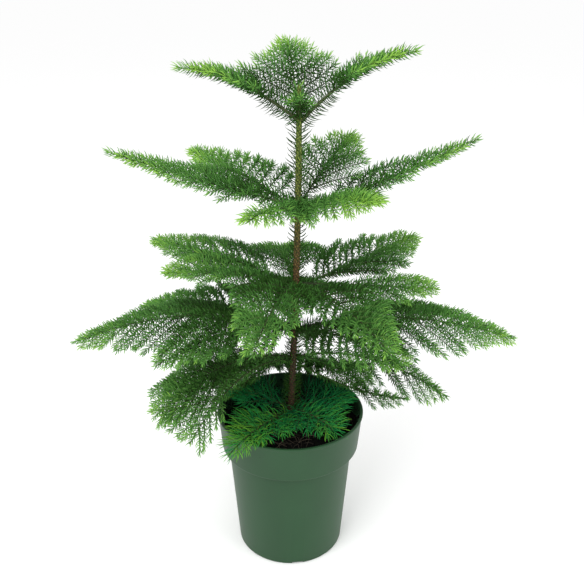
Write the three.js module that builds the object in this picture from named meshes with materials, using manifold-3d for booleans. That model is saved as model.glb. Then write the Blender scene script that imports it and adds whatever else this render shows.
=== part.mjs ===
// A young Norfolk Island pine in a tapered nursery pot.
// Millimetres, +Z up. The origin is the centre of the pot's flat underside.
// The crown is five whorls of branches round one straight leader, with a ring of
// soft low fronds at the soil. A branch is a bare bough and the frond that it carries.

import * as THREE from "three";
import { mergeVertices } from "three/addons/utils/BufferGeometryUtils.js";
import Module from "manifold-3d";

const wasm = await Module();
wasm.setup();

// ---------- driving dimensions ----------

const CLEARANCE = 0.3; // left between neighbouring solids
const SLIVER = 0.03; // the finest edge that is kept where twigs are fused to a stem

// The pot.
const POT_HEIGHT = 177;
const RIM_RADIUS = 85;
const LIP_WIDTH = 3.2;
const LIP_HEIGHT = 3;
const LIP_OVERHANG = 1;
const COLLAR_DEPTH = 43;
const COLLAR_FOOT_RADIUS = 80.2;
const LEDGE_DROP = 5;
const BODY_TOP_RADIUS = 72.6;
const FOOT_RADIUS = 62.8;
const FOOT_CHAMFER = 1.6;
const WALL = 2;
const FLOOR = 5;
const POT_SEGMENTS = 36;

// The drainage grooves under the pot, open at its foot.
const GROOVES = 4;
const GROOVE_TURN = 278; // degrees, the first groove
const GROOVE_WIDTH = 13;
const GROOVE_HEIGHT = 3;
const GROOVE_INNER_RADIUS = 44;

// The potting soil, a low mound that is flat under the trunk.
const SOIL_LEVEL = 158;
const SOIL_EDGE_DROP = 3;
const SOIL_FLAT_RADIUS = 9;

// The trunk, from its flat cut at the soil to its bud.
const TRUNK_TOP = 545;
const TRUNK_LEAN = 9.2;
const TRUNK_FOOT_RADIUS = 3.4;
const TRUNK_TIP_RADIUS = 2.7;
const TRUNK_POINT = 0.6; // how much of that the last of the leader loses
const TRUNK_POINTING = 14; // how late it does
const FLARE = 1.9;
const FLARE_HEIGHT = 11;
const TRUNK_SIDES = 7;
const TRUNK_STEPS = 12;

// Branches. The arms of a whorl leave the trunk over a short height.
const WHORL_DEPTH = 8;
const STAGGER_STEP = 0.618; // of that height, from one arm to the next, and round again
const BOUGH_FOOT_RADIUS = 1.6;
const BOUGH_TIP_RADIUS = 1.15;
const BOUGH_SIDES = 5;
const BOUGH_STEPS = 2;
const STEM_FOOT_RADIUS = 1.8;
const STEM_TIP_RADIUS = 1.3;
const STEM_SIDES = 3;
const STEM_STEPS = 6;
const STEM_END = 0.95; // share of the branch where the stem gives way to its last twig

// Twigs: toothed blades, each tooth a spray of needles. Shares of a stem run from its foot.
const TWIG_THICKNESS = 0.8;
const TWIG_CORE = 0.7; // half the width between two teeth
const TOOTH_PITCH = 22; // the least way from one tooth to the next
const END_PITCH = 0.5; // from the last tooth to the twig's tip, as a share of their pitch
const TOOTH_RAKE = 0.2; // how far a notch lies behind its tooth, as a share of their pitch
const TIP_NARROWING = 0.3;
const TWIG_FILL = 0.46; // the most of the way to the next twig that a needle reaches
const END_TWIG_ROOT = 0.02; // of the branch, how far its last twig is sunk in the stem
const END_TWIG_WIDTH = 0.7; // of the other twigs' width
const SHORTEST_TWIG = 13;
const TWIG_TIP_ANGLE = 40; // degrees from the stem, at the frond's tip
const TWIG_FOOT_SHARE = 0.82; // of the longest, a twig's length at the frond's foot
const TWIG_TIP_SHARE = 0.14;
const TWIG_STAGGER = 0.25; // of a twig spacing, how far the twigs of a pair stand apart
const PLACE_SCATTER = 0.1; // of a twig spacing
const ANGLE_SCATTER = 8; // degrees
const LENGTH_SCATTER = 0.2; // of a twig's length
const WIDEST_ANGLE = 46; // degrees that a frond may spread to an open side
const NARROWEST_ANGLE = 26; // and to a close one, over or under the next frond
const SHORTENING = 0.85; // applied until a twig stays in its frond's space
const LEAST_SHARE = 0.45; // of its full length, under which a twig is skipped
const SIDES = [1, -1]; // left and right of a frond, seen from the trunk
const SEED = 41;

// The whorls. height: where the arms leave the trunk. bare: the share of a branch that is
// bough. pairs: twigs a side. spread: the longest twig. splay: the degrees from the stem
// of the twigs at its foot. taper: how fast the twigs shorten towards the tip. needle: half
// a twig's width. lift: a twig's rise above its frond, as a slope. arms: turn in degrees,
// reach from the trunk, rise of the tip above the foot, and bow, the height of the middle
// over the chord. An arm may also have a fullness, which scales its twigs, a lift on top of
// its whorl's, its own share of bare bough, the share where its first twigs stand, and the
// widest angle of its space, left and right.
const WHORLS = [
  {
    name: "top",
    height: 512,
    bare: 0.28,
    pairs: 6,
    spread: 54,
    splay: 62,
    taper: 1,
    needle: 7.5,
    lift: 0.16,
    arms: [
      { turn: 3, reach: 115, rise: 68, bow: 13, fullness: 0.6 },
      { turn: 98, reach: 82, rise: 67, bow: 4, fullness: 1.06, bare: 0.14, widest: [75, 75] },
      { turn: 180, reach: 119, rise: 51, bow: 11, fullness: 0.6 },
      { turn: 272, reach: 36, rise: 24, bow: 2, fullness: 0.3, bare: 0.2 },
    ],
  },
  {
    name: "upper",
    height: 419,
    bare: 0.14,
    pairs: 6,
    spread: 68,
    splay: 62,
    taper: 1,
    needle: 8,
    lift: 0.18,
    arms: [
      { turn: 3, reach: 184, rise: 75, bow: -3, fullness: 0.85, lift: -0.12 },
      { turn: 58, reach: 110, rise: 57, bow: 4, widest: [34, 72] },
      { turn: 134, reach: 179, rise: 36, bow: 6, fullness: 1.1, lift: -0.15, widest: [46, 40] },
      { turn: 180, reach: 193, rise: 57, bow: -1, fullness: 0.9, lift: -0.2 },
      { turn: 239, reach: 92, rise: 11, bow: 8, lift: -0.3, widest: [42, 9] },
      { turn: 318, reach: 96, rise: 28, bow: 9, fullness: 1.2, lift: -0.45, widest: [26, 46] },
    ],
  },
  {
    name: "middle",
    height: 333,
    bare: 0.15,
    pairs: 6,
    spread: 72,
    splay: 50,
    taper: 0.8,
    needle: 8,
    lift: 0.06,
    arms: [
      { turn: 37, reach: 179, rise: 25, bow: 0, fullness: 0.95, lift: -0.08, widest: [40, 34] },
      { turn: 97, reach: 150, rise: -10, bow: 8 },
      { turn: 151, reach: 195, rise: 22, bow: 7, lift: -0.08, widest: [30, 28] },
      { turn: 184, reach: 142, rise: 15, bow: 7 },
      { turn: 254, reach: 148, rise: -12, bow: 15, bare: 0, widest: [30, 46] },
      { turn: 303, reach: 163, rise: -12, bow: 15, bare: 0 },
      { turn: 352, reach: 151, rise: 3, bow: 1, lift: -0.1, widest: [14, 30] },
    ],
  },
  {
    name: "broad",
    height: 278,
    bare: 0.15,
    pairs: 7,
    spread: 82,
    splay: 54,
    taper: 0.9,
    needle: 8,
    lift: -0.04,
    arms: [
      { turn: 26, reach: 226, rise: -16, bow: 12, fullness: 0.65, lift: -0.1, widest: [12, 26] },
      { turn: 94, reach: 194, rise: -22, bow: 18 },
      { turn: 152, reach: 216, rise: -14, bow: 20 },
      { turn: 188, reach: 240, rise: -1, bow: 23, fullness: 1.22, lift: -0.2, widest: [46, 26] },
      { turn: 214, reach: 168, rise: 6, bow: 17, widest: [50, 30] },
      { turn: 315, reach: 150, rise: 14, bow: 14, widest: [34, 50] },
      { turn: 352, reach: 238, rise: 5, bow: 19, fullness: 1.22, lift: -0.15, widest: [26, 46] },
    ],
  },
  {
    name: "skirt",
    height: 243,
    bare: 0,
    pairs: 6,
    spread: 80,
    splay: 54,
    taper: 0.7,
    needle: 8,
    lift: -0.06,
    arms: [
      { turn: 224, reach: 149, rise: -41, bow: 30, fullness: 1.12, widest: [10, 34], first: 0.5 },
      { turn: 203, reach: 164, rise: -40, bow: 26, fullness: 1.08, widest: [40, 18], first: 0.42 },
      { turn: 180, reach: 148, rise: -36, bow: 14, first: 0.3 },
      {
        turn: 38,
        reach: 118,
        rise: -50,
        bow: -3,
        fullness: 0.9,
        lift: -0.45,
        widest: [46, 20],
        first: 0.1,
      },
      { turn: 132, reach: 145, rise: -56, bow: -2, lift: -0.4, widest: [46, 40] },
      {
        turn: 12,
        reach: 141,
        rise: -68,
        bow: -10,
        fullness: 0.36,
        lift: -0.2,
        widest: [10, 20],
        first: 0.5,
      },
      {
        turn: 350,
        reach: 174,
        rise: -35,
        bow: 23,
        fullness: 0.75,
        lift: -0.2,
        widest: [14, 18],
        first: 0.42,
      },
    ],
  },
  {
    name: "low",
    height: 173,
    bare: 0,
    pairs: 3,
    spread: 46,
    splay: 62,
    taper: 0.8,
    needle: 11,
    lift: 0.06,
    arms: [
      { turn: 18, reach: 76, rise: 12, bow: 6 },
      { turn: 162, reach: 76, rise: 14, bow: 8 },
      { turn: 234, reach: 112, rise: 4, bow: 9 },
      { turn: 314, reach: 74, rise: 0, bow: 7 },
    ],
  },
];

// ---------- finishes ----------

function finish(color, roughness) {
  return new THREE.MeshStandardMaterial({ color, roughness, metalness: 0 });
}

const FINISHES = {
  pot: finish("#4e6f54", 0.5),
  soil: finish("#15100c", 0.95),
  trunk: finish("#7a5c22", 0.8),
  bough: finish("#4c7a2a", 0.75),
  crown: finish("#3c7c38", 0.65),
  low: finish("#11602c", 0.6),
};

// ---------- working with solids ----------

function solidFrom(geometry) {
  const bare = geometry.clone();
  bare.deleteAttribute("normal");
  bare.deleteAttribute("uv");
  const merged = mergeVertices(bare);
  return new wasm.Manifold(
    new wasm.Mesh({
      numProp: 3,
      vertProperties: merged.attributes.position.array,
      triVerts: new Uint32Array(merged.index.array),
    }),
  );
}

function geometryFrom(solid) {
  const mesh = solid.getMesh();
  const geometry = new THREE.BufferGeometry();
  geometry.setAttribute("position", new THREE.BufferAttribute(mesh.vertProperties, mesh.numProp));
  geometry.setIndex(new THREE.BufferAttribute(mesh.triVerts, 1));
  geometry.computeVertexNormals();
  return geometry;
}

function boxesMeet(a, b) {
  return [0, 1, 2].every((i) => a.min[i] <= b.max[i] && b.min[i] <= a.max[i]);
}

// Whether a solid is clear of every other one in the list.
function isClear(solid, others) {
  const box = solid.boundingBox();
  return others.every(
    (other) => !boxesMeet(box, other.boundingBox()) || solid.intersect(other).isEmpty(),
  );
}

const model = new THREE.Group();

function addPiece(name, geometry, material) {
  const mesh = new THREE.Mesh(geometry, material);
  mesh.name = name;
  model.add(mesh);
}

// A seeded run of numbers from 0 to 1.
function makeDice(seed) {
  let state = seed;
  return () => {
    state = (state * 1664525 + 1013904223) % 4294967296;
    return state / 4294967296;
  };
}

// A number from a centred band of the given width.
function scatter(dice, width) {
  return width * (dice() - 0.5);
}

// ---------- pot and soil ----------

function latheSolid(profile) {
  const points = profile.map(([radius, height]) => new THREE.Vector2(radius, height));
  return new THREE.LatheGeometry(points, POT_SEGMENTS).rotateX(Math.PI / 2);
}

const collarFoot = POT_HEIGHT - COLLAR_DEPTH;
const bodyTop = collarFoot - LEDGE_DROP;
const lipFoot = POT_HEIGHT - LIP_HEIGHT;

// The radius inside the collar's wall at a height.
function collarInside(height) {
  const share = (height - collarFoot) / (lipFoot - collarFoot);
  return THREE.MathUtils.lerp(COLLAR_FOOT_RADIUS, RIM_RADIUS - LIP_OVERHANG, share) - WALL;
}

function makePot() {
  const shell = solidFrom(
    latheSolid([
      [0, 0],
      [FOOT_RADIUS - FOOT_CHAMFER, 0],
      [FOOT_RADIUS, FOOT_CHAMFER],
      [BODY_TOP_RADIUS, bodyTop],
      [COLLAR_FOOT_RADIUS, collarFoot],
      [RIM_RADIUS - LIP_OVERHANG, lipFoot],
      [RIM_RADIUS, lipFoot],
      [RIM_RADIUS, POT_HEIGHT],
      [RIM_RADIUS - LIP_WIDTH, POT_HEIGHT],
      [collarInside(lipFoot), lipFoot],
      [COLLAR_FOOT_RADIUS - WALL, collarFoot],
      [BODY_TOP_RADIUS - WALL, bodyTop],
      [FOOT_RADIUS - WALL, FLOOR],
      [0, FLOOR],
    ]),
  );
  const grooveLength = FOOT_RADIUS;
  return Array.from({ length: GROOVES }).reduce((pot, _, i) => {
    const groove = new THREE.BoxGeometry(grooveLength, GROOVE_WIDTH, 2 * GROOVE_HEIGHT)
      .translate(GROOVE_INNER_RADIUS + grooveLength / 2, 0, 0)
      .rotateZ(THREE.MathUtils.degToRad(GROOVE_TURN + (360 / GROOVES) * i));
    return pot.subtract(solidFrom(groove));
  }, shell);
}

function makeSoil() {
  const edge = SOIL_LEVEL - SOIL_EDGE_DROP;
  const gap = WALL + CLEARANCE;
  return solidFrom(
    latheSolid([
      [0, FLOOR + CLEARANCE],
      [FOOT_RADIUS - gap, FLOOR + CLEARANCE],
      [BODY_TOP_RADIUS - gap, bodyTop],
      [COLLAR_FOOT_RADIUS - gap, collarFoot + CLEARANCE],
      [collarInside(edge) - CLEARANCE, edge],
      [SOIL_FLAT_RADIUS, SOIL_LEVEL],
      [0, SOIL_LEVEL],
    ]),
  );
}

// ---------- trunk and limbs ----------

const trunkFoot = SOIL_LEVEL + CLEARANCE;
const trunkPath = new THREE.QuadraticBezierCurve3(
  new THREE.Vector3(0, 0, trunkFoot),
  new THREE.Vector3(TRUNK_LEAN, 0, (trunkFoot + TRUNK_TOP) / 2),
  new THREE.Vector3(TRUNK_LEAN, 0, TRUNK_TOP),
);

function trunkShare(height) {
  return (height - trunkFoot) / (TRUNK_TOP - trunkFoot);
}

function trunkRadius(share) {
  const flare = FLARE * Math.exp((-share * (TRUNK_TOP - trunkFoot)) / FLARE_HEIGHT);
  const taper = THREE.MathUtils.lerp(TRUNK_FOOT_RADIUS, TRUNK_TIP_RADIUS, share);
  return taper * (1 - TRUNK_POINT * share ** TRUNK_POINTING) + flare;
}

// A tapering limb along a stretch of a path that lies in one upright plane; aside is the
// level direction across that plane.
function makeLimb({ path, from, to, aside, radiusAt, sides, steps }) {
  const geometry = new THREE.CylinderGeometry(1, 1, 1, sides, steps);
  const place = geometry.attributes.position;
  for (let i = 0; i < place.count; i++) {
    const share = place.getY(i) + 0.5;
    const along = THREE.MathUtils.lerp(from, to, share);
    const normal = new THREE.Vector3().crossVectors(aside, path.getTangent(along));
    const radius = radiusAt(share);
    const point = path
      .getPoint(along)
      .addScaledVector(aside, place.getX(i) * radius)
      .addScaledVector(normal, place.getZ(i) * radius);
    place.setXYZ(i, point.x, point.y, point.z);
  }
  return solidFrom(geometry);
}

function makeTrunk() {
  return makeLimb({
    path: trunkPath,
    from: 0,
    to: 1,
    aside: new THREE.Vector3(0, 1, 0),
    radiusAt: trunkRadius,
    sides: TRUNK_SIDES,
    steps: TRUNK_STEPS,
  });
}

// ---------- branches ----------

// How far a frond's own space opens to one side of its arm: its own widest angle, or half
// the angle to the next arm.
function ownAngle(whorl, arm, side) {
  if (arm.widest) return arm.widest[SIDES.indexOf(side)];
  const gaps = whorl.arms
    .map((other) => THREE.MathUtils.euclideanModulo((other.turn - arm.turn) * side, 360))
    .filter((gap) => gap > 0);
  const halfGap = Math.min(WIDEST_ANGLE, ...gaps.map((gap) => gap / 2));
  return Math.max(NARROWEST_ANGLE, halfGap);
}

// Everything that follows from an arm's sizes: its path from the trunk's middle to its
// tip, and the shares of that path where its bough, its frond and its twigs start.
function layOutArm(whorl, arm, index) {
  const height = whorl.height + WHORL_DEPTH * (((index * STAGGER_STEP) % 1) - 0.5);
  const turn = THREE.MathUtils.degToRad(arm.turn);
  const out = new THREE.Vector3(Math.cos(turn), Math.sin(turn), 0);
  const aside = new THREE.Vector3(-Math.sin(turn), Math.cos(turn), 0);
  const foot = trunkPath.getPoint(trunkShare(height));
  const middle = foot.clone().addScaledVector(out, arm.reach / 2);
  middle.z += arm.rise / 2 + 2 * arm.bow;
  const tip = foot.clone().addScaledVector(out, arm.reach);
  tip.z += arm.rise;
  const path = new THREE.QuadraticBezierCurve3(foot, middle, tip);
  const bare = arm.bare ?? whorl.bare;
  const footRadius = bare > 0 ? BOUGH_FOOT_RADIUS : STEM_FOOT_RADIUS;
  const tilt = Math.abs(path.getTangent(0).z) * footRadius;
  const start = (trunkRadius(trunkShare(height)) + CLEARANCE + tilt) / arm.reach;
  const frondStart = bare > 0 ? bare + CLEARANCE / path.getLength() : start;
  return {
    name: `${whorl.name}_${index + 1}`,
    whorl,
    path,
    out,
    aside,
    start,
    bare,
    frondStart,
    twigStart: Math.max(frondStart, arm.first ?? 0),
    spread: whorl.spread * (arm.fullness ?? 1),
    lift: whorl.lift + (arm.lift ?? 0),
    ownAngles: new Map(SIDES.map((side) => [side, ownAngle(whorl, arm, side)])),
  };
}

function makeBough(arm) {
  return makeLimb({
    path: arm.path,
    from: arm.start,
    to: arm.bare,
    aside: arm.aside,
    radiusAt: (share) => THREE.MathUtils.lerp(BOUGH_FOOT_RADIUS, BOUGH_TIP_RADIUS, share),
    sides: BOUGH_SIDES,
    steps: BOUGH_STEPS,
  });
}

function makeStem(arm) {
  return makeLimb({
    path: arm.path,
    from: arm.frondStart,
    to: STEM_END,
    aside: arm.aside,
    radiusAt: (share) => THREE.MathUtils.lerp(STEM_FOOT_RADIUS, STEM_TIP_RADIUS, share),
    sides: STEM_SIDES,
    steps: STEM_STEPS,
  });
}

// The outline of a twig with its needles: a saw-toothed blade along X.
function twigOutline(length, needle) {
  const teeth = Math.max(1, Math.floor(length / TOOTH_PITCH));
  const pitch = length / (teeth + END_PITCH);
  const oneSide = [[0, TWIG_CORE]];
  for (let tooth = 1; tooth <= teeth; tooth++) {
    oneSide.push([pitch * tooth, needle * (1 - (TIP_NARROWING * tooth) / teeth)]);
    if (tooth < teeth) oneSide.push([pitch * (tooth - TOOTH_RAKE), TWIG_CORE]);
  }
  const otherSide = oneSide.map(([x, y]) => [x, -y]).reverse();
  const points = [...oneSide, [length, 0], ...otherSide];
  return new THREE.Shape(points.map(([x, y]) => new THREE.Vector2(x, y)));
}

// A twig that starts at its foot and runs along its direction, flat to its normal.
function makeTwig({ foot, along, normal, length, needle }) {
  const across = new THREE.Vector3().crossVectors(normal, along).normalize();
  const upright = new THREE.Vector3().crossVectors(along, across);
  const blade = new THREE.ExtrudeGeometry(twigOutline(length, needle), {
    depth: TWIG_THICKNESS,
    bevelEnabled: false,
  }).translate(0, 0, -TWIG_THICKNESS / 2);
  blade.applyMatrix4(new THREE.Matrix4().makeBasis(along, across, upright).setPosition(foot));
  return solidFrom(blade);
}

// How long a frond's twigs are at a share of its stem, as a share of the longest.
function twigShare(along, taper) {
  return Math.min(1, TWIG_FOOT_SHARE + along) * (1 - along) ** taper + TWIG_TIP_SHARE;
}

function leavesItsSpace(arm, side, point) {
  const fromTrunk = point.clone().sub(arm.path.v0);
  const angle = Math.atan2(fromTrunk.dot(arm.aside) * side, fromTrunk.dot(arm.out));
  return THREE.MathUtils.radToDeg(angle) > arm.ownAngles.get(side);
}

// The place and size of one twig on a frond's stem.
function layOutTwig(arm, pair, side, dice) {
  const { whorl, path, aside, twigStart, spread } = arm;
  const place = pair + 0.5 - TWIG_STAGGER * side + scatter(dice, PLACE_SCATTER);
  const share = place / whorl.pairs;
  const at = THREE.MathUtils.lerp(twigStart, STEM_END, share);
  const angle = THREE.MathUtils.lerp(whorl.splay, TWIG_TIP_ANGLE, share);
  const lean = THREE.MathUtils.degToRad(angle + scatter(dice, ANGLE_SCATTER));
  const length = spread * twigShare(share, whorl.taper) * (1 + scatter(dice, LENGTH_SCATTER));
  const tangent = path.getTangent(at);
  const normal = new THREE.Vector3().crossVectors(tangent, aside).normalize();
  const along = tangent
    .clone()
    .multiplyScalar(Math.cos(lean))
    .addScaledVector(aside, side * Math.sin(lean))
    .addScaledVector(normal, arm.lift)
    .normalize();
  const spacing = (path.getLength() * (STEM_END - twigStart)) / whorl.pairs;
  const needle = Math.min(whorl.needle, TWIG_FILL * spacing * Math.sin(lean));
  return { foot: path.getPoint(at), along, normal, length, needle };
}

// The longest form of a twig that keeps to its frond's space and clear of all else.
function fitTwig(arm, side, twig, others) {
  const shortest = Math.max(SHORTEST_TWIG, LEAST_SHARE * twig.length);
  for (let length = twig.length; length > shortest; length *= SHORTENING) {
    const tip = twig.foot.clone().addScaledVector(twig.along, length);
    if (leavesItsSpace(arm, side, tip)) continue;
    const needle = twig.needle + CLEARANCE;
    if (isClear(makeTwig({ ...twig, length: length + CLEARANCE, needle }), others)) {
      return makeTwig({ ...twig, length });
    }
  }
  return null;
}

// The twig that ends a frond, along its stem.
function makeEndTwig({ whorl, path, aside }) {
  const foot = path.getPoint(STEM_END - END_TWIG_ROOT);
  const along = path.getPoint(1).sub(foot);
  const length = along.length();
  along.normalize();
  const normal = new THREE.Vector3().crossVectors(along, aside).normalize();
  return makeTwig({ foot, along, normal, length, needle: END_TWIG_WIDTH * whorl.needle });
}

// A frond: a stem with pairs of twigs, and one more twig at its end.
function makeFrond(arm, others, dice) {
  let frond = makeStem(arm).add(makeEndTwig(arm));
  for (let pair = 0; pair < arm.whorl.pairs; pair++) {
    for (const side of SIDES) {
      const twig = fitTwig(arm, side, layOutTwig(arm, pair, side, dice), others);
      if (twig) frond = frond.add(twig);
    }
  }
  return frond.asOriginal().simplify(SLIVER);
}

// ---------- assembly ----------

const pot = makePot();
const soil = makeSoil();
const trunk = makeTrunk();
addPiece("pot", geometryFrom(pot), FINISHES.pot);
addPiece("soil", geometryFrom(soil), FINISHES.soil);
addPiece("trunk", geometryFrom(trunk), FINISHES.trunk);

const arms = WHORLS.flatMap((whorl) =>
  whorl.arms.map((arm, index) => layOutArm(whorl, arm, index)),
);
const boughs = new Map();
for (const arm of arms.filter((one) => one.bare > 0)) {
  boughs.set(arm, makeBough(arm));
  addPiece(`bough_${arm.name}`, geometryFrom(boughs.get(arm)), FINISHES.bough);
}

const dice = makeDice(SEED);
const stems = new Map(arms.map((arm) => [arm, makeStem(arm)]));
const fronds = [];
for (const arm of arms) {
  const otherStems = arms.filter((one) => one !== arm).map((one) => stems.get(one));
  const others = [pot, soil, trunk, ...boughs.values(), ...otherStems, ...fronds];
  const frond = makeFrond(arm, others, dice);
  fronds.push(frond);
  const material = arm.whorl.name === "low" ? FINISHES.low : FINISHES.crown;
  addPiece(`frond_${arm.name}`, geometryFrom(frond), material);
}

export default model;
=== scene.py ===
import math
from dataclasses import dataclass

import bmesh
import bpy
import numpy as np
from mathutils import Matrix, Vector, noise


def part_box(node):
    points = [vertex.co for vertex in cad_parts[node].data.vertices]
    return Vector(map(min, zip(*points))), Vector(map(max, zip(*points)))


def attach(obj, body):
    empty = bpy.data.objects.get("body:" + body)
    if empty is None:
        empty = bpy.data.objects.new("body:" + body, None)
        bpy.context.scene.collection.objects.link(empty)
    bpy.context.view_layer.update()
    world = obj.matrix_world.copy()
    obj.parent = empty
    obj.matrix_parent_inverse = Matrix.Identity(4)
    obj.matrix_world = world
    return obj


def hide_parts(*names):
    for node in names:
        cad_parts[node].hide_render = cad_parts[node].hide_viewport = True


# A young Norfolk Island pine in its nursery pot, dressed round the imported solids.
# Each frond's solid gives way to twigs and needles that grow by the same rule, the trunk
# and the boughs to barked limbs, and the pot and the soil to finer ones.
# Growth is worked out in millimetres and degrees, and enters Blender in metres.

bl_info = {
    "name": "Potted Norfolk Island Pine",
    "version": (1, 0, 0),
    "blender": (4, 5, 0),
    "location": "View3D > Sidebar > Pine",
    "description": "Dresses the solids of a potted pine with bark, twigs, needles and soil",
    "category": "Object",
}

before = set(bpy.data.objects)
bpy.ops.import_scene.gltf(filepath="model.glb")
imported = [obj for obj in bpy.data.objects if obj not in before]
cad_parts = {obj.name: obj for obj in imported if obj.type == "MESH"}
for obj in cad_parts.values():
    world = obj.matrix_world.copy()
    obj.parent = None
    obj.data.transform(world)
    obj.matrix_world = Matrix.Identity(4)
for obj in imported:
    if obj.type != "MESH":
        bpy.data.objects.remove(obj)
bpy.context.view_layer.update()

MM = 0.001
SEED = 41
FULL_TURN = 2 * math.pi
GOLDEN_TURN = math.radians(137.508)  # from one needle or cushion to the next, round its limb
SIDES = (1, -1)  # left and right of a frond, seen from the trunk
UP = np.array((0, 0, 1.0))
ASIDE = np.array((0, 1.0, 0))


def top_of(node):
    """The height of a solid's top, to a hundredth of a millimetre."""
    return round(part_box(node)[1].z / MM, 2)


# ---------- the plant's build ----------

CLEARANCE = 0.3  # between neighbouring solids

POT_HEIGHT = top_of("pot")
RIM_RADIUS = round(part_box("pot")[1].x / MM, 2)
SOIL_LEVEL = top_of("soil")

TRUNK_TOP = top_of("trunk")
TRUNK_LEAN = 9.2
TRUNK_FOOT_RADIUS = 3.4
TRUNK_TIP_RADIUS = 2.7
TRUNK_POINT = 0.6  # the share of its radius that the leader loses at its very end
TRUNK_POINTING = 14  # how late it does, as a power
FLARE = 1.9
FLARE_HEIGHT = 11.0

WHORL_DEPTH = 8.0  # the height over which the arms of a whorl leave the trunk
STAGGER_STEP = 0.618  # of that height, from one arm to the next, and round again
BOUGH_SINK = 0.6  # of the trunk's radius, from its middle to a bough's foot
BOUGH_FOOT_RADIUS = 1.6
BOUGH_TIP_RADIUS = 1.15
STEM_TIP_RADIUS = 0.5
STEM_END = 0.95  # share of an arm where its last twigs stand

TWIG_TIP_ANGLE = 40.0  # from the stem, at a frond's tip
TWIG_FOOT_SHARE = 0.82  # of its whorl's spread, what a twig at a frond's foot has
TWIG_TIP_SHARE = 0.14  # and what every twig has on top, up to the tip
TWIG_STAGGER = 0.25  # of a twig's gap, from a pair's middle to each of its twigs
PLACE_SCATTER = 0.2  # of a twig's gap
ANGLE_SCATTER = 6
LIFT_SCATTER = 0.12
# A pair of numbers for chance is the least, and the most that chance adds.
TWIG_LENGTH = (0.88, 0.22)  # of its full one
TWIG_SWING = (9, 5)  # from a twig's chord to each of its halves
SHORTEST_TWIG = 9
WIDEST_ANGLE = 46.0  # that a frond may spread to an open side
NARROWEST_ANGLE = 26.0  # and to a close one, over or under the next frond
SHORTENING = 0.85  # applied until a twig keeps to its frond's space
LEAST_SHARE = 0.4  # of its full length, under which a twig is skipped
POT_MARGIN = 3.0  # between a twig and the pot or the soil
MOUTH_MARGIN = 12.0  # from the rim's outside to where a twig may dip into the mouth


@dataclass(frozen=True)
class Arm:
    """A branch of a whorl. What it leaves out is as in the rest of its whorl."""

    turn: float  # round the trunk, from +X
    reach: float  # of the tip, from the trunk
    rise: float  # of the tip, above the foot
    bow: float  # of the middle, over the chord
    fullness: float = 1.0  # scales its twigs
    fresh: float = 0.0  # on top of its whorl's
    bare: float = None  # its own share of bough
    lift: float = 0.0  # on top of its whorl's
    widest: tuple = None  # how far its space opens, left and right
    first: float = 0.0  # the share of it where its first twigs stand
    crowd: float = 1.0  # scales the number of its twigs
    splay: float = None  # its own splay


@dataclass(frozen=True)
class Whorl:
    """A ring of arms and what they have in common."""

    name: str
    height: float  # where the arms leave the trunk
    bare: float  # the share of an arm that is bough
    twig_gap: float  # along the stem
    spread: float  # about the longest twig
    splay: float  # the angle from the stem of the twigs at a frond's foot
    needle: float  # its length
    lift: float  # a twig's rise above its frond, as a slope
    curl: float  # of a twig's end, as a slope, where less than nothing is down
    taper: float  # how fast the twigs shorten towards the tip
    fresh: float  # how light its needles are, from 0, shaded, to 1, a growing tip
    glow: float  # how much fresher the end of a twig is
    comb: float  # how far the needles lie to two sides of their twig
    pieces: tuple  # the fronds that are joined, from the first up to the one past the last
    arms: tuple


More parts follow.
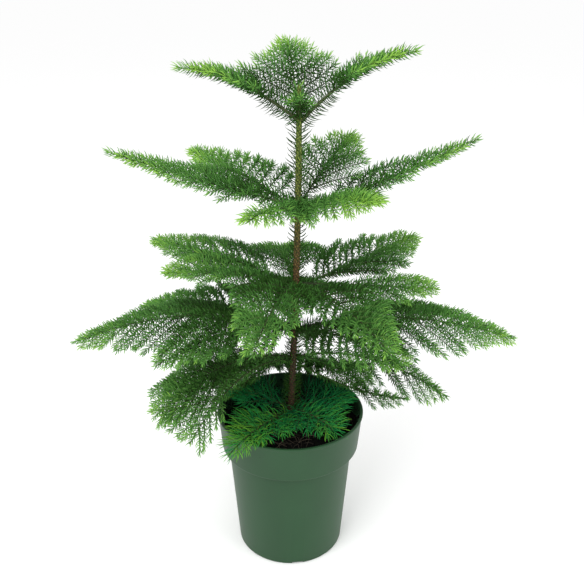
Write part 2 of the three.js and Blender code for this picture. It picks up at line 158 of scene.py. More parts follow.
WHORLS = (
    Whorl(
        "top", height=512, bare=0.28, twig_gap=9, spread=54, splay=62, needle=10.4, lift=0.16,
        curl=-0.10, taper=1.3, fresh=0.20, glow=0.8, comb=0.1, pieces=((0, 4),),
        arms=(
            Arm(3, 115, 68, 13, fullness=0.72),
            Arm(98, 82, 67, 4, fullness=1.16, fresh=-0.04, bare=0.14, widest=(75, 75)),
            Arm(180, 119, 51, 11, fullness=0.74),
            Arm(272, 36, 24, 2, fullness=0.3, fresh=-0.25, bare=0.2),
        ),
    ),
    Whorl(
        "upper", height=419, bare=0.14, twig_gap=12, spread=68, splay=62, needle=9.4, lift=0.18,
        curl=-0.36, taper=1.0, fresh=0.30, glow=0.45, comb=0.3, pieces=((0, 6),),
        arms=(
            Arm(3, 184, 75, -3, fullness=0.85, fresh=-0.06, lift=-0.12),
            Arm(58, 110, 57, 4, fullness=1.02, fresh=0.02, widest=(34, 72), crowd=1.25),
            Arm(134, 179, 36, 6, fullness=1.1, fresh=0.08, lift=-0.15, widest=(46, 40)),
            Arm(180, 193, 57, -1, fullness=0.9, lift=-0.2),
            Arm(239, 92, 11, 8, fresh=0.08, lift=-0.30, widest=(42, 9), crowd=1.3),
            Arm(318, 96, 28, 9, fullness=1.2, fresh=0.18, lift=-0.45, widest=(26, 46), crowd=1.5),
        ),
    ),
    Whorl(
        "middle", height=333, bare=0.15, twig_gap=10.5, spread=72, splay=50, needle=7.8, lift=0.06,
        curl=-0.30, taper=0.8, fresh=0.32, glow=0.3, comb=0.6, pieces=((0, 4), (4, 7)),
        arms=(
            Arm(
                37, 179, 25, 0,
                fullness=1.1, fresh=0.04, lift=-0.08, widest=(46, 34), crowd=1.15, splay=43,
            ),
            Arm(97, 150, -10, 8, fresh=0.04, crowd=0.9),
            Arm(151, 195, 22, 7, fresh=0.07, lift=-0.08, widest=(30, 28), splay=38),
            Arm(184, 142, 15, 7, fresh=0.07),
            Arm(254, 148, -12, 15, fresh=-0.10, bare=0, widest=(30, 46)),
            Arm(303, 163, -12, 15, fresh=-0.13, bare=0),
            Arm(352, 151, 3, 1, lift=-0.1, widest=(14, 30)),
        ),
    ),
    Whorl(
        "broad", height=278, bare=0.15, twig_gap=10.5, spread=82, splay=54, needle=7.8, lift=-0.04,
        curl=-0.28, taper=0.9, fresh=0.26, glow=0.35, comb=0.6, pieces=((0, 3), (3, 7)),
        arms=(
            Arm(26, 226, -16, 12, fullness=0.65, lift=-0.1, widest=(12, 26)),
            Arm(94, 194, -22, 18),
            Arm(152, 216, -14, 20, splay=40),
            Arm(188, 240, -1, 23, fullness=1.22, lift=-0.2, widest=(46, 26)),
            Arm(214, 168, 6, 17, fresh=-0.06, widest=(50, 30)),
            Arm(315, 150, 14, 14, fresh=-0.04, widest=(34, 50)),
            Arm(352, 238, 5, 19, fullness=1.22, lift=-0.15, widest=(26, 46)),
        ),
    ),
    Whorl(
        "skirt", height=243, bare=0.0, twig_gap=10.5, spread=80, splay=54, needle=7.6, lift=-0.06,
        curl=-0.26, taper=0.7, fresh=0.27, glow=0.2, comb=0.6, pieces=((0, 3), (3, 7)),
        arms=(
            Arm(
                224, 149, -41, 30,
                fullness=1.12, fresh=0.06, widest=(10, 34), first=0.5, crowd=1.25,
            ),
            Arm(
                203, 164, -40, 26,
                fullness=1.08, fresh=0.05, widest=(40, 18), first=0.42, crowd=1.25,
            ),
            Arm(180, 148, -36, 14, first=0.3),
            Arm(
                38, 118, -50, -3,
                fullness=0.9, lift=-0.45, widest=(46, 20), first=0.1, crowd=1.6, splay=38,
            ),
            Arm(132, 145, -56, -2, lift=-0.4, widest=(46, 40), crowd=1.55),
            Arm(
                12, 141, -68, -10,
                fullness=0.36, lift=-0.2, widest=(10, 20), first=0.5, crowd=0.8,
            ),
            Arm(
                350, 174, -35, 23,
                fullness=0.75, lift=-0.2, widest=(14, 18), first=0.42, crowd=0.75,
            ),
        ),
    ),
    Whorl(
        "low", height=173, bare=0.0, twig_gap=12, spread=46, splay=62, needle=17.0, lift=0.06,
        curl=0.02, taper=0.8, fresh=0.34, glow=0.1, comb=0.0, pieces=((0, 4),),
        arms=(
            Arm(18, 76, 12, 6),
            Arm(162, 76, 14, 8, fresh=0.02),
            Arm(234, 112, 4, 9, fresh=0.34),
            Arm(314, 74, 0, 7, fresh=0.12),
        ),
    ),
)
CROWN, LOW_WHORL = WHORLS[:-1], WHORLS[-1]


def unit(v):
    return v / np.linalg.norm(v, axis=-1, keepdims=True)


def lerp(a, b, share):
    return a + (b - a) * share


def scatter(rng, width, count=None):
    """A number from a centred band, or a count of them."""
    return width * (rng.random(count) - 0.5)


def at_least(rng, least, more, count=None):
    """A number from least to least plus more, or a count of them."""
    return least + more * rng.random(count)


def round_turns(count):
    return np.arange(count) * FULL_TURN / count


def level_way(turn):
    """The level way at a turn from +X."""
    return np.array((math.cos(turn), math.sin(turn), 0))


def ways_across(heading, aside):
    """Two ways across each heading: the one nearest to aside, and one square to it."""
    across = unit(aside - heading * (heading @ aside)[:, None])
    return across, np.cross(heading, across)


class Path:
    """A quadratic curve on three points."""

    LENGTH_STEPS = 65

    def __init__(self, foot, middle, tip):
        self.points = [np.asarray(p, float) for p in (foot, middle, tip)]
        chords = np.diff(self.at(np.linspace(0, 1, self.LENGTH_STEPS)), axis=0)
        self.length = float(np.linalg.norm(chords, axis=1).sum())

    def at(self, share):
        t = np.atleast_1d(np.asarray(share, float))[:, None]
        a, b, c = self.points
        return (1 - t) ** 2 * a + 2 * t * (1 - t) * b + t**2 * c

    def heading(self, share):
        t = np.atleast_1d(np.asarray(share, float))[:, None]
        a, b, c = self.points
        return unit(2 * (1 - t) * (b - a) + 2 * t * (c - b))


TRUNK_FOOT = SOIL_LEVEL + CLEARANCE
TRUNK_PATH = Path(
    (0, 0, TRUNK_FOOT),
    (TRUNK_LEAN, 0, (TRUNK_FOOT + TRUNK_TOP) / 2),
    (TRUNK_LEAN, 0, TRUNK_TOP),
)


def trunk_share(height):
    return (height - TRUNK_FOOT) / (TRUNK_TOP - TRUNK_FOOT)


def trunk_radius(share):
    flare = FLARE * np.exp(-share * (TRUNK_TOP - TRUNK_FOOT) / FLARE_HEIGHT)
    taper = lerp(TRUNK_FOOT_RADIUS, TRUNK_TIP_RADIUS, share)
    return taper * (1 - TRUNK_POINT * share**TRUNK_POINTING) + flare


@dataclass
class Branch:
    """An arm laid out from the trunk's middle to its tip. Its stretches are shares of it."""

    name: str
    whorl: Whorl
    arm: Arm
    path: Path
    out: np.ndarray  # the level way out from the trunk
    aside: np.ndarray  # the level way to its left
    start: float  # where it leaves the trunk
    bare: float  # where its bough ends
    own_angles: dict  # how far its space opens, for each side

    @property
    def frond_start(self):
        return max(self.start, self.bare)

    @property
    def twig_start(self):
        return max(self.frond_start, self.arm.first)

    @property
    def twig_count(self):
        """The number of twigs on each side."""
        length = self.path.length * (STEM_END - self.twig_start)
        return max(3, round(length / self.whorl.twig_gap * self.arm.crowd))


def own_angle(whorl, arm, side):
    """How far a frond's space opens to one side: its own, or half the angle to the next arm."""
    if arm.widest:
        return arm.widest[SIDES.index(side)]
    gaps = [((other.turn - arm.turn) * side) % 360 for other in whorl.arms]
    half_gap = min([WIDEST_ANGLE] + [gap / 2 for gap in gaps if gap > 0])
    return max(NARROWEST_ANGLE, half_gap)


def lay_out_branch(whorl, arm, index):
    height = whorl.height + WHORL_DEPTH * ((index * STAGGER_STEP) % 1 - 0.5)
    out = level_way(math.radians(arm.turn))
    aside = np.array((-out[1], out[0], 0))
    foot = TRUNK_PATH.at(trunk_share(height))[0]
    middle = foot + out * arm.reach / 2 + UP * (arm.rise / 2 + 2 * arm.bow)
    path = Path(foot, middle, foot + out * arm.reach + UP * arm.rise)
    start = trunk_radius(trunk_share(height)) * BOUGH_SINK / arm.reach
    angles = {side: own_angle(whorl, arm, side) for side in SIDES}
    bare = whorl.bare if arm.bare is None else arm.bare
    return Branch(f"{whorl.name}_{index + 1}", whorl, arm, path, out, aside, start, bare, angles)


def branches_of(whorl):
    return [lay_out_branch(whorl, arm, i) for i, arm in enumerate(whorl.arms)]


# ---------- meshes ----------

NEEDLE_SHARES = (0.8, 1.0, 0.8)  # of a needle's thickness, at its root and its two bends
NEEDLE_TURNS = round_turns(3)


def ring_faces(rings, sides):
    """The faces between rings of points, and the fans from the last ring to a tip, the point
    after the rings, and from the first ring to a foot, the point after that."""
    index = np.arange(rings * sides).reshape(rings, sides)
    turned = np.roll(index, -1, axis=1)
    walls = np.stack([index[:-1], turned[:-1], turned[1:], index[1:]], axis=-1)
    foot_fan = np.stack([turned[0], index[0], np.full(sides, index.size + 1)], axis=-1)
    tip_fan = np.stack([index[-1], turned[-1], np.full(sides, index.size)], axis=-1)
    return walls.reshape(-1, 4), foot_fan, tip_fan


class Clay:
    """Points and faces that become one mesh. Every face keeps the number of its finish."""

    def __init__(self):
        self.points = []
        self.faces = []
        self.finishes = []
        self.count = 0

    def add(self, points, faces, finish):
        """Adds sets of faces. A tuple holds the finish of each set, and else it is for all."""
        self.points.append(points.reshape(-1, 3))
        finishes = finish if isinstance(finish, tuple) else [finish] * len(faces)
        for face_set, own in zip(faces, finishes):
            self.faces.append(face_set + self.count)
            self.finishes.append(np.broadcast_to(own, len(face_set)))
        self.count += points.size // 3

    def rings(self, grid, foot, tip, finish):
        """A closed surface on rings of points, from a foot to a tip."""
        points = np.concatenate([grid.reshape(-1, 3), [tip, foot]])
        self.add(points, ring_faces(*grid.shape[:2]), finish)

    def tube(self, points, radii, sides, finish, aside):
        """A closed round limb along points. aside is roughly across it."""
        across, upright = ways_across(unit(np.gradient(points, axis=0)), aside)
        turns = round_turns(sides)[:, None]
        ring = across[:, None] * np.cos(turns) + upright[:, None] * np.sin(turns)
        radii = radii.reshape(len(points), -1, 1)
        self.rings(points[:, None] + ring * radii, points[0], points[-1], finish)

    def needles(self, feet, heading, outward, length, thickness, angles, finish):
        """Bent, tapering needles of three lengths each, turning from the root angle to the tip's."""
        root_angle, tip_angle = angles
        flat = np.cross(heading, outward)
        place, rings = feet, []
        for step, share in enumerate(NEEDLE_SHARES):
            angle = lerp(root_angle, tip_angle, step / (len(NEEDLE_SHARES) - 1))
            way = heading * np.cos(angle)[:, None] + outward * np.sin(angle)[:, None]
            keel = np.cross(way, flat)
            radius = (thickness * share / 2)[:, None]
            for turn in NEEDLE_TURNS:
                rings.append(place + radius * (flat * math.cos(turn) + keel * math.sin(turn)))
            place = place + way * (length / len(NEEDLE_SHARES))[:, None]
        points = np.stack([*rings, place], axis=1)
        walls, _, tips = ring_faces(len(NEEDLE_SHARES), len(NEEDLE_TURNS))
        firsts = np.arange(len(feet))[:, None] * points.shape[1]
        self.add(points, [firsts + face for face in (*walls, *tips)], finish)


def new_object(name, data):
    """An object in the scene."""
    made = bpy.data.objects.new(name, data)
    bpy.context.scene.collection.objects.link(made)
    return made


def new_bmesh_object(name, shape):
    """An object from a bmesh, which it frees."""
    mesh = bpy.data.meshes.new(name)
    shape.to_mesh(mesh)
    shape.free()
    return new_object(name, mesh)


def make_piece(name, clay, finishes, stands_for=(), smooth=True):
    """One mesh object on the root body, with its finishes, from a Clay."""
    corners = np.concatenate([f.ravel() for f in clay.faces]).astype(np.int32)
    sizes = np.concatenate([np.full(len(f), f.shape[1], np.int32) for f in clay.faces])
    starts = np.concatenate([[0], np.cumsum(sizes)[:-1]]).astype(np.int32)
    points = (np.concatenate(clay.points) * MM).astype(np.float32)
    mesh = bpy.data.meshes.new(name)
    mesh.vertices.add(len(points))
    mesh.vertices.foreach_set("co", points.ravel())
    mesh.loops.add(len(corners))
    mesh.loops.foreach_set("vertex_index", corners)
    mesh.polygons.add(len(sizes))
    mesh.polygons.foreach_set("loop_start", starts)
    finish_numbers = np.concatenate(clay.finishes).astype(np.int32)
    mesh.polygons.foreach_set("material_index", finish_numbers)
    mesh.polygons.foreach_set("use_smooth", np.full(len(sizes), smooth))
    mesh.update(calc_edges=True)
    mesh.validate()
    for finish in finishes:
        mesh.materials.append(finish)
    piece = new_object(name, mesh)
    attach(piece, "root")
    if stands_for:
        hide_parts(*stands_for)
    return piece


# ---------- finishes ----------


def feed(node, **inputs):
    """Gives a node's inputs a value or another node's output. In a name, _ stands for a space."""
    for name, given in inputs.items():
        socket = node.inputs[name.replace("_", " ")]
        if isinstance(given, bpy.types.NodeSocket):
            node.id_data.links.new(given, socket)
        else:
            socket.default_value = given
    return node


def add_node(tree, kind, **inputs):
    return feed(tree.nodes.new(f"ShaderNode{kind}"), **inputs)


def new_finish(name, colour, roughness, specular=0.5):
    """A material with one Principled shader."""
    finish = bpy.data.materials.new(name)
    finish.use_nodes = True
    shader = finish.node_tree.nodes["Principled BSDF"]
    feed(shader, Base_Color=(*colour[:3], 1), Roughness=roughness, Specular_IOR_Level=specular)
    return finish, shader


def object_place(tree):
    return add_node(tree, "TexCoord").outputs["Object"]


def noise_node(tree, scale, detail, roughness, stretch=(1, 1, 1)):
    mapping = add_node(tree, "Mapping", Vector=object_place(tree), Scale=stretch)
    kind = {"Scale": scale, "Detail": detail, "Roughness": roughness}
    return add_node(tree, "TexNoise", Vector=mapping.outputs["Vector"], **kind).outputs["Fac"]


def ramp_node(tree, factor, stops):
    ramp = add_node(tree, "ValToRGB", Fac=factor)
    elements = ramp.color_ramp.elements
    while len(elements) < len(stops):
        elements.new(0.5)
    for element, (place, colour) in zip(elements, stops):
        element.position = place
        element.color = (*colour[:3], 1)
    return ramp.outputs["Color"]


def add_bump(shader, height, distance, strength):
    bump = add_node(shader.id_data, "Bump", Height=height, Distance=distance, Strength=strength)
    feed(shader, Normal=bump.outputs["Normal"])


def shade(colour, factor):
    return tuple(c * factor for c in colour[:3])


def blend(a, b, share):
    return tuple(lerp(x, y, share) for x, y in zip(a[:3], b[:3]))


def bark_finish(name, old, young, low, high):
    """Bark that is old at the low height and young at the high one, with dark spots, and darker
    still towards the low height as painted shade under the fronds.
    """
    finish, shader = new_finish(name, young, 0.75)
    tree = finish.node_tree
    height = add_node(tree, "SeparateXYZ", Vector=object_place(tree)).outputs["Z"]
    share = add_node(tree, "MapRange", Value=height, From_Min=low * MM, From_Max=high * MM)
    # The two lowest stops are the old bark darkened, as painted shade at the foot under the fronds.
    age_and_shade_stops = (
        (0.0, shade(old, 0.4)),
        (0.3, shade(old, 0.55)),
        (0.52, old),
        (0.74, blend(old, young, 0.5)),
        (0.9, young),
    )
    aged_and_shaded = ramp_node(tree, share.outputs["Result"], age_and_shade_stops)
    mottle = noise_node(tree, scale=420, detail=4, roughness=0.65, stretch=(1, 1, 0.6))
    spots = ramp_node(tree, mottle, [(0.32, (0.35, 0.3, 0.25)), (0.6, (1.0, 1.0, 1.0))])
    mix = add_node(tree, "Mix")
    mix.data_type = "RGBA"
    mix.blend_type = "MULTIPLY"
    feed(mix, Factor=0.7, A=aged_and_shaded, B=spots)
    feed(shader, Base_Color=mix.outputs["Result"])
    add_bump(shader, mottle, distance=0.0004, strength=0.6)
    return finish


def pot_finish(colour, roughness):
    """Moulded green plastic, a little cloudy, with a fine grain."""
    finish, shader = new_finish("pot_plastic", colour, roughness, specular=0.25)
    tree = finish.node_tree
    cloud = noise_node(tree, scale=14, detail=5, roughness=0.6, stretch=(1, 1, 0.7))
    tone = ramp_node(tree, cloud, [(0.3, shade(colour, 0.9)), (0.7, shade(colour, 1.1))])
    dull, duller = roughness - 0.06, roughness + 0.08
    dullness = add_node(tree, "MapRange", Value=cloud, To_Min=dull, To_Max=duller)
    feed(shader, Base_Color=tone, Roughness=dullness.outputs["Result"])
    grain = noise_node(tree, scale=900, detail=3, roughness=0.5)
    add_bump(shader, grain, distance=0.0001, strength=0.25)
    return finish


def soil_finish(name, dark, light, scale):
    """Crumbly peat, darker in the hollows of its bump as painted shade, up to its own light crumbs.
    """
    finish, shader = new_finish(name, dark, 0.95, specular=0.15)
    tree = finish.node_tree
    crumbs = noise_node(tree, scale, detail=6, roughness=0.7)
    # The lowest stop, the peat at half its colour, is painted shade in the hollows.
    tone = ramp_node(tree, crumbs, [(0.35, shade(dark, 0.5)), (0.55, dark), (0.75, light)])
    feed(shader, Base_Color=tone)
    add_bump(shader, crumbs, distance=0.0012, strength=0.8)
    return finish


def needle_finishes(kind, tints, settings):
    """A plain colour for each tint, so that a needle keeps its own, with hardly any gloss."""
    return [
        new_finish(f"{kind}_{tint}", getattr(settings, tint), settings.roughness, 0.06)[0]
        for tint in tints
    ]


# ---------- settings ----------


def colour_property(name, description, colour):
    return bpy.props.FloatVectorProperty(
        name=name, description=description, subtype="COLOR", min=0, max=1, default=colour
    )


def length_property(name, description, millimetres):
    length = millimetres * MM
    return bpy.props.FloatProperty(
        name=name, description=description, unit="LENGTH", min=0, precision=5, default=length
    )


def share_property(name, description, share):
    return bpy.props.FloatProperty(
        name=name, description=description, subtype="FACTOR", min=0, max=1, default=share
    )


def count_property(name, description, count):
    return bpy.props.IntProperty(name=name, description=description, min=0, default=count)


class PineBarkSettings(bpy.types.PropertyGroup):
    old: colour_property("Old bark", "Leaf cushions of the trunk's foot", (0.23, 0.115, 0.030))
    young: colour_property("Young bark", "Leaf cushions of the leader", (0.22, 0.31, 0.035))
    limb: colour_property("Bough bark", "Colour of the boughs", (0.06, 0.085, 0.022))
    scar: length_property("Scar height", "How far a leaf cushion stands out", 0.75)
    scar_length: length_property("Scar length", "Length of a leaf cushion", 5.4)
    # How dark the bark between the leaf cushions is, as painted shade in the grooves.
    groove_shade: share_property("Groove", "Brightness of the bark between the leaf cushions", 0.34)


class PineNeedleSettings(bpy.types.PropertyGroup):
    thickness: length_property("Needle thickness", "Width of a needle at its bend", 1.1)
    pitch: length_property("Needle pitch", "Way along a twig between needles", 0.62)
    shaded: colour_property("Shaded", "Needles deep in the crown", (0.026, 0.080, 0.012))
    deep: colour_property("Deep", "Old needles", (0.060, 0.180, 0.034))
    leaf: colour_property("Leaf", "Grown needles", (0.108, 0.280, 0.055))
    fresh: colour_property("Fresh", "This year's needles", (0.175, 0.390, 0.068))
    tip: colour_property("Tip", "Needles of a growing tip", (0.275, 0.520, 0.080))
    # Old twigs and the stems are dark of their own, and darkened further as painted shade inside the
    # crown.
    twig: colour_property("Twig", "Old twigs", (0.030, 0.040, 0.008))
    green_twig: colour_property("Green twig", "Young twigs", (0.060, 0.140, 0.018))
    roughness: share_property("Roughness", "Roughness of a needle's skin", 0.5)


class PineLowFrondSettings(bpy.types.PropertyGroup):
    thickness: length_property("Needle thickness", "Width of a soft low needle", 0.9)
    pitch: length_property("Needle pitch", "Way along a twig between needles", 0.9)
    shaded: colour_property("Shaded", "Low needles in shade", (0.002, 0.050, 0.016))
    leaf: colour_property("Leaf", "Low needles", (0.008, 0.170, 0.052))
    fresh: colour_property("Fresh", "Younger low needles", (0.022, 0.260, 0.062))
    light: colour_property("Light", "Low needles in the light", (0.055, 0.310, 0.050))
    tip: colour_property("Tip", "Ends of the low fronds", (0.150, 0.420, 0.045))
    roughness: share_property("Roughness", "Roughness of a low needle's skin", 0.45)


class PinePotSettings(bpy.types.PropertyGroup):
    colour: colour_property("Plastic", "Colour of the pot", (0.0168, 0.0575, 0.0225))
    roughness: share_property("Roughness", "Roughness of the plastic", 0.45)
    edge: length_property("Edge", "Radius of the moulded edges", 0.7)


class PineSoilSettings(bpy.types.PropertyGroup):
    dark: colour_property("Peat", "Colour of the potting soil", (0.0020, 0.0016, 0.0015))
    light: colour_property("Crumbs", "Lighter crumbs in the soil", (0.012, 0.009, 0.007))
    root: colour_property("Rootlets", "Dry rootlets and needles", (0.120, 0.090, 0.062))
    lumps: count_property("Lumps", "Loose crumbs on the soil", 1500)
    rootlets: count_property("Rootlets", "Dry rootlets on the soil", 260)
    relief: length_property("Relief", "How uneven the soil's top is", 2.6)


class PineStageSettings(bpy.types.PropertyGroup):
    floor: colour_property("Floor", "Colour of the floor", (0.98, 0.98, 0.98))
    sky: bpy.props.FloatProperty(
        name="Sky", description="Strength of the soft light all round", min=0, default=1.0
    )
    key: bpy.props.FloatProperty(
        name="Key", description="Power of the large soft light", unit="POWER", default=26
    )
    camera: bpy.props.FloatVectorProperty(
        name="Camera",
        description="Where the camera stands",
        subtype="TRANSLATION",
        unit="LENGTH",
        default=(0.0021, -0.750, 0.646),
    )
    tilt: bpy.props.FloatProperty(
        name="Tilt",
        description="How far the camera looks down",
        subtype="ANGLE",
        default=math.radians(23.2),
    )
    lens: bpy.props.FloatProperty(
        name="Lens", description="Focal length in millimetres", default=46.0
    )


class PineSettings(bpy.types.PropertyGroup):
    bark: bpy.props.PointerProperty(type=PineBarkSettings)
    needles: bpy.props.PointerProperty(type=PineNeedleSettings)
    low: bpy.props.PointerProperty(type=PineLowFrondSettings)
    pot: bpy.props.PointerProperty(type=PinePotSettings)
    soil: bpy.props.PointerProperty(type=PineSoilSettings)
    stage: bpy.props.PointerProperty(type=PineStageSettings)


# ---------- pot ----------

COLLAR_DEPTH = 43
LEDGE_DROP = 5
LIP_HEIGHT = 3
COLLAR_FOOT = POT_HEIGHT - COLLAR_DEPTH
LEDGE_FOOT = COLLAR_FOOT - LEDGE_DROP
LIP_FOOT = POT_HEIGHT - LIP_HEIGHT
POT_FLOOR = 5.0
FOOT_RADIUS = 62.8
FOOT_CHAMFER = 1.6
BODY_TOP_RADIUS = 72.6
LEDGE_INSET = 0.6  # how far the ledge's slope stays from the body and the collar
LEDGE_EASE = 1.1
COLLAR_FOOT_RADIUS = 80.2
LIP_OVERHANG = 1
LIP_EASE = 0.4
LIP_WIDTH = 3.2
INNER_LIP_RADIUS = 81.5
WALL = 2.0
POT_SEGMENTS = 160
SHARP_EDGE = math.radians(38)
CORNER_SHARE = 0.45  # the most of a side that a rounded corner takes
CORNER_STEPS = 4

# From the middle of the underside, up the outside, over the rim and down the inside.
POT_PROFILE = (
    (0, 0),
    (FOOT_RADIUS - FOOT_CHAMFER, 0),
    (FOOT_RADIUS, FOOT_CHAMFER),
    (BODY_TOP_RADIUS, LEDGE_FOOT),
    (BODY_TOP_RADIUS + LEDGE_INSET, LEDGE_FOOT + LEDGE_EASE),
    (COLLAR_FOOT_RADIUS - LEDGE_INSET, COLLAR_FOOT - LEDGE_EASE),
    (COLLAR_FOOT_RADIUS, COLLAR_FOOT),
    (RIM_RADIUS - LIP_OVERHANG, LIP_FOOT),
    (RIM_RADIUS, LIP_FOOT + LIP_EASE),
    (RIM_RADIUS, POT_HEIGHT),
    (RIM_RADIUS - LIP_WIDTH, POT_HEIGHT),
    (INNER_LIP_RADIUS, LIP_FOOT),
    (COLLAR_FOOT_RADIUS - WALL, COLLAR_FOOT),
    (BODY_TOP_RADIUS - WALL, LEDGE_FOOT),
    (FOOT_RADIUS - WALL, POT_FLOOR),
    (0, POT_FLOOR),
)

GROOVES = 4
GROOVE_TURN = 278
GROOVE_INNER_RADIUS = 44
GROOVE_LENGTH = 24
GROOVE_WIDTH = 13
GROOVE_HEIGHT = 3


def rounded(profile, radius):
    """The profile with its corners rounded, as far as their sides allow."""
    points = [np.array(p, float) for p in profile]
    made = [points[0]]
    for before, corner, after in zip(points, points[1:], points[2:]):
        to_before, to_after = before - corner, after - corner
        shorter = min(np.linalg.norm(to_before), np.linalg.norm(to_after))
        cut = min(radius, shorter * CORNER_SHARE)
        curve = Path(corner + unit(to_before) * cut, corner, corner + unit(to_after) * cut)
        made += [*curve.at(np.linspace(0, 1, CORNER_STEPS + 1))]
    return np.array([*made, points[-1]])


def lathed(clay, profile, segments):
    """The surface that a profile from the axis to the axis leaves as it turns."""
    turns = round_turns(segments)
    radii, heights = profile[1:-1, :1], profile[1:-1, 1:]
    grid = [radii * np.cos(turns), radii * np.sin(turns), np.repeat(heights, segments, axis=1)]
    foot, tip = [(0, 0, height) for height in profile[[0, -1], 1]]
    clay.rings(np.stack(grid, axis=-1), foot, tip, 0)


def cut_grooves(piece):
    """Cuts the drainage grooves into the foot."""
    tool = bmesh.new()
    for i in range(GROOVES):
        turn = math.radians(GROOVE_TURN + 360 / GROOVES * i)
        for vert in bmesh.ops.create_cube(tool, size=1)["verts"]:
            out = GROOVE_INNER_RADIUS + (vert.co.x + 0.5) * GROOVE_LENGTH
            aside = vert.co.y * GROOVE_WIDTH
            vert.co = (
                MM * (out * math.cos(turn) - aside * math.sin(turn)),
                MM * (out * math.sin(turn) + aside * math.cos(turn)),
                MM * (vert.co.z * 2 * GROOVE_HEIGHT),
            )
    cutter = new_bmesh_object("grooves", tool)
    cut = piece.modifiers.new("grooves", "BOOLEAN")
    cut.operation = "DIFFERENCE"
    cut.solver = "EXACT"
    cut.object = cutter
    bpy.context.view_layer.update()
    shaped = bpy.data.meshes.new_from_object(
        piece.evaluated_get(bpy.context.evaluated_depsgraph_get())
    )
    piece.modifiers.clear()
    piece.data = shaped
    bpy.data.objects.remove(cutter)


class PINE_OT_pot(bpy.types.Operator):
    """Makes the tapered nursery pot with its collar, lip and drainage grooves"""

    bl_idname = "pine.pot"
    bl_label = "Pot"

    def execute(self, context):
        settings = context.scene.pine.pot
        clay = Clay()
        lathed(clay, rounded(POT_PROFILE, settings.edge / MM), POT_SEGMENTS)
        finish = pot_finish(settings.colour, settings.roughness)
        piece = make_piece("pot_shell", clay, [finish], ["pot"])
        cut_grooves(piece)
        piece.data.set_sharp_from_angle(angle=SHARP_EDGE)
        return {"FINISHED"}


# ---------- soil ----------

SOIL_FLAT_RADIUS = 9  # of the mound's top, round the trunk
SOIL_SLOPE_WIDTH = 70
SOIL_EDGE_DROP = 3
SOIL_SEGMENTS = 128
SOIL_RINGS = 52
SOIL_TOP = (79.6, 1.5)  # the radii of its first and last ring
SOIL_WALL = (  # from the middle of the pot's floor to the mound's edge
    (0, POT_FLOOR + CLEARANCE),
    (58.5, POT_FLOOR + CLEARANCE),
    (BODY_TOP_RADIUS - WALL - CLEARANCE, LEDGE_FOOT),
    (COLLAR_FOOT_RADIUS - WALL - CLEARANCE, COLLAR_FOOT + CLEARANCE),
    (79.7, 153),
)
RELIEF_FOOT = 150  # the height above which the bed is uneven
RELIEF_SCALE = 0.12
RELIEF_SHARE = 0.55  # of the relief that is set, for one unit of its noise
RELIEF_REACH = 80
RELIEF_KIND = (0.8, 2.2, 5)  # its fractal's dimension, lacunarity and octaves
WALL_EASE = 6  # the width over which the relief starts, from the wall
TRUNK_EASE = 14  # and from the trunk, where it keeps a little
TRUNK_RELIEF = 0.15

CRUMB_REACH = 78
CRUMB_LEAST_REACH = 6
CRUMB_LEAST_SIZE, CRUMB_MORE_SIZE = 0.5, 1.7
CRUMB_RARITY = 2.2  # how rare large crumbs are
CRUMB_BUMPS = 0.7
CRUMB_SHAPE = (1.25, 0.8, 0.65)
CRUMB_STRETCH = (0.8, 0.4)
CRUMB_RISE, CRUMB_SIZE_RISE = 0.4, 0.3  # of its middle, over the mound, and more by its size
CRUMB_STANDOFF = 0.4  # of its size, from the pot's inside to its middle
BARK_CRUMBS = 0.25  # the share of crumbs that are bark
WALL_CRUMBS = 0.4  # the share that clings to the pot's inside
WALL_CRUMB_FOOT, WALL_CRUMB_RISE = 155, 15  # how high those stick
WALL_CRUMB_RARITY = 1.6  # how rare they are higher up

ROOTLET_REACH = 74
ROOTLET_MOST_REACH = 77  # of any of its points
ROOTLET_SPREAD = 0.75  # how close to the middle they gather, where 0.5 is even
ROOTLET_LENGTH = (9, 17)
ROOTLET_BEND = 1.6  # radians
ROOTLET_LIFT = 0.6
ROOTLET_ARCH = (1.2, 1.6)
ROOTLET_RADIUS = (0.2, 0.16)
ROOTLET_SIDES = 4
DRY_NEEDLES = 0.5  # the share of rootlets that are fallen needles
ROOTLET_TAPER = np.array((0.7, 1, 1, 0.9, 0.7, 0.3))


def soil_height(x, y):
    """The mound's height at a place, without its unevenness."""
    share = np.clip((np.hypot(x, y) - SOIL_FLAT_RADIUS) / SOIL_SLOPE_WIDTH, 0, 1)
    return SOIL_LEVEL - SOIL_EDGE_DROP * share


def wall_radius(height):
    """The radius of the collar's inside at a height."""
    share = (height - COLLAR_FOOT) / (LIP_FOOT - COLLAR_FOOT)
    return lerp(COLLAR_FOOT_RADIUS - WALL, INNER_LIP_RADIUS, share)


def make_soil_bed(settings):
    clay = Clay()
    rings = [(r, float(soil_height(r, 0))) for r in np.linspace(*SOIL_TOP, SOIL_RINGS)]
    lathed(clay, np.array([*SOIL_WALL, *rings, (0, SOIL_LEVEL)], float), SOIL_SEGMENTS)
    points = clay.points[0]
    relief = settings.relief / MM * RELIEF_SHARE
    reach = np.hypot(points[:, 0], points[:, 1])
    for i in np.nonzero(points[:, 2] > RELIEF_FOOT)[0]:
        x, y = points[i, :2] * RELIEF_SCALE
        rough = noise.fractal(Vector((x, y, 3.0)), *RELIEF_KIND)
        from_wall = (RELIEF_REACH - reach[i]) / WALL_EASE
        keep = min(1.0, from_wall, TRUNK_RELIEF + reach[i] / TRUNK_EASE)
        points[i, 2] += relief * rough * max(keep, 0.0)
    finish = soil_finish("peat", settings.dark, settings.light, scale=260)
    return make_piece("soil_bed", clay, [finish], ["soil"])


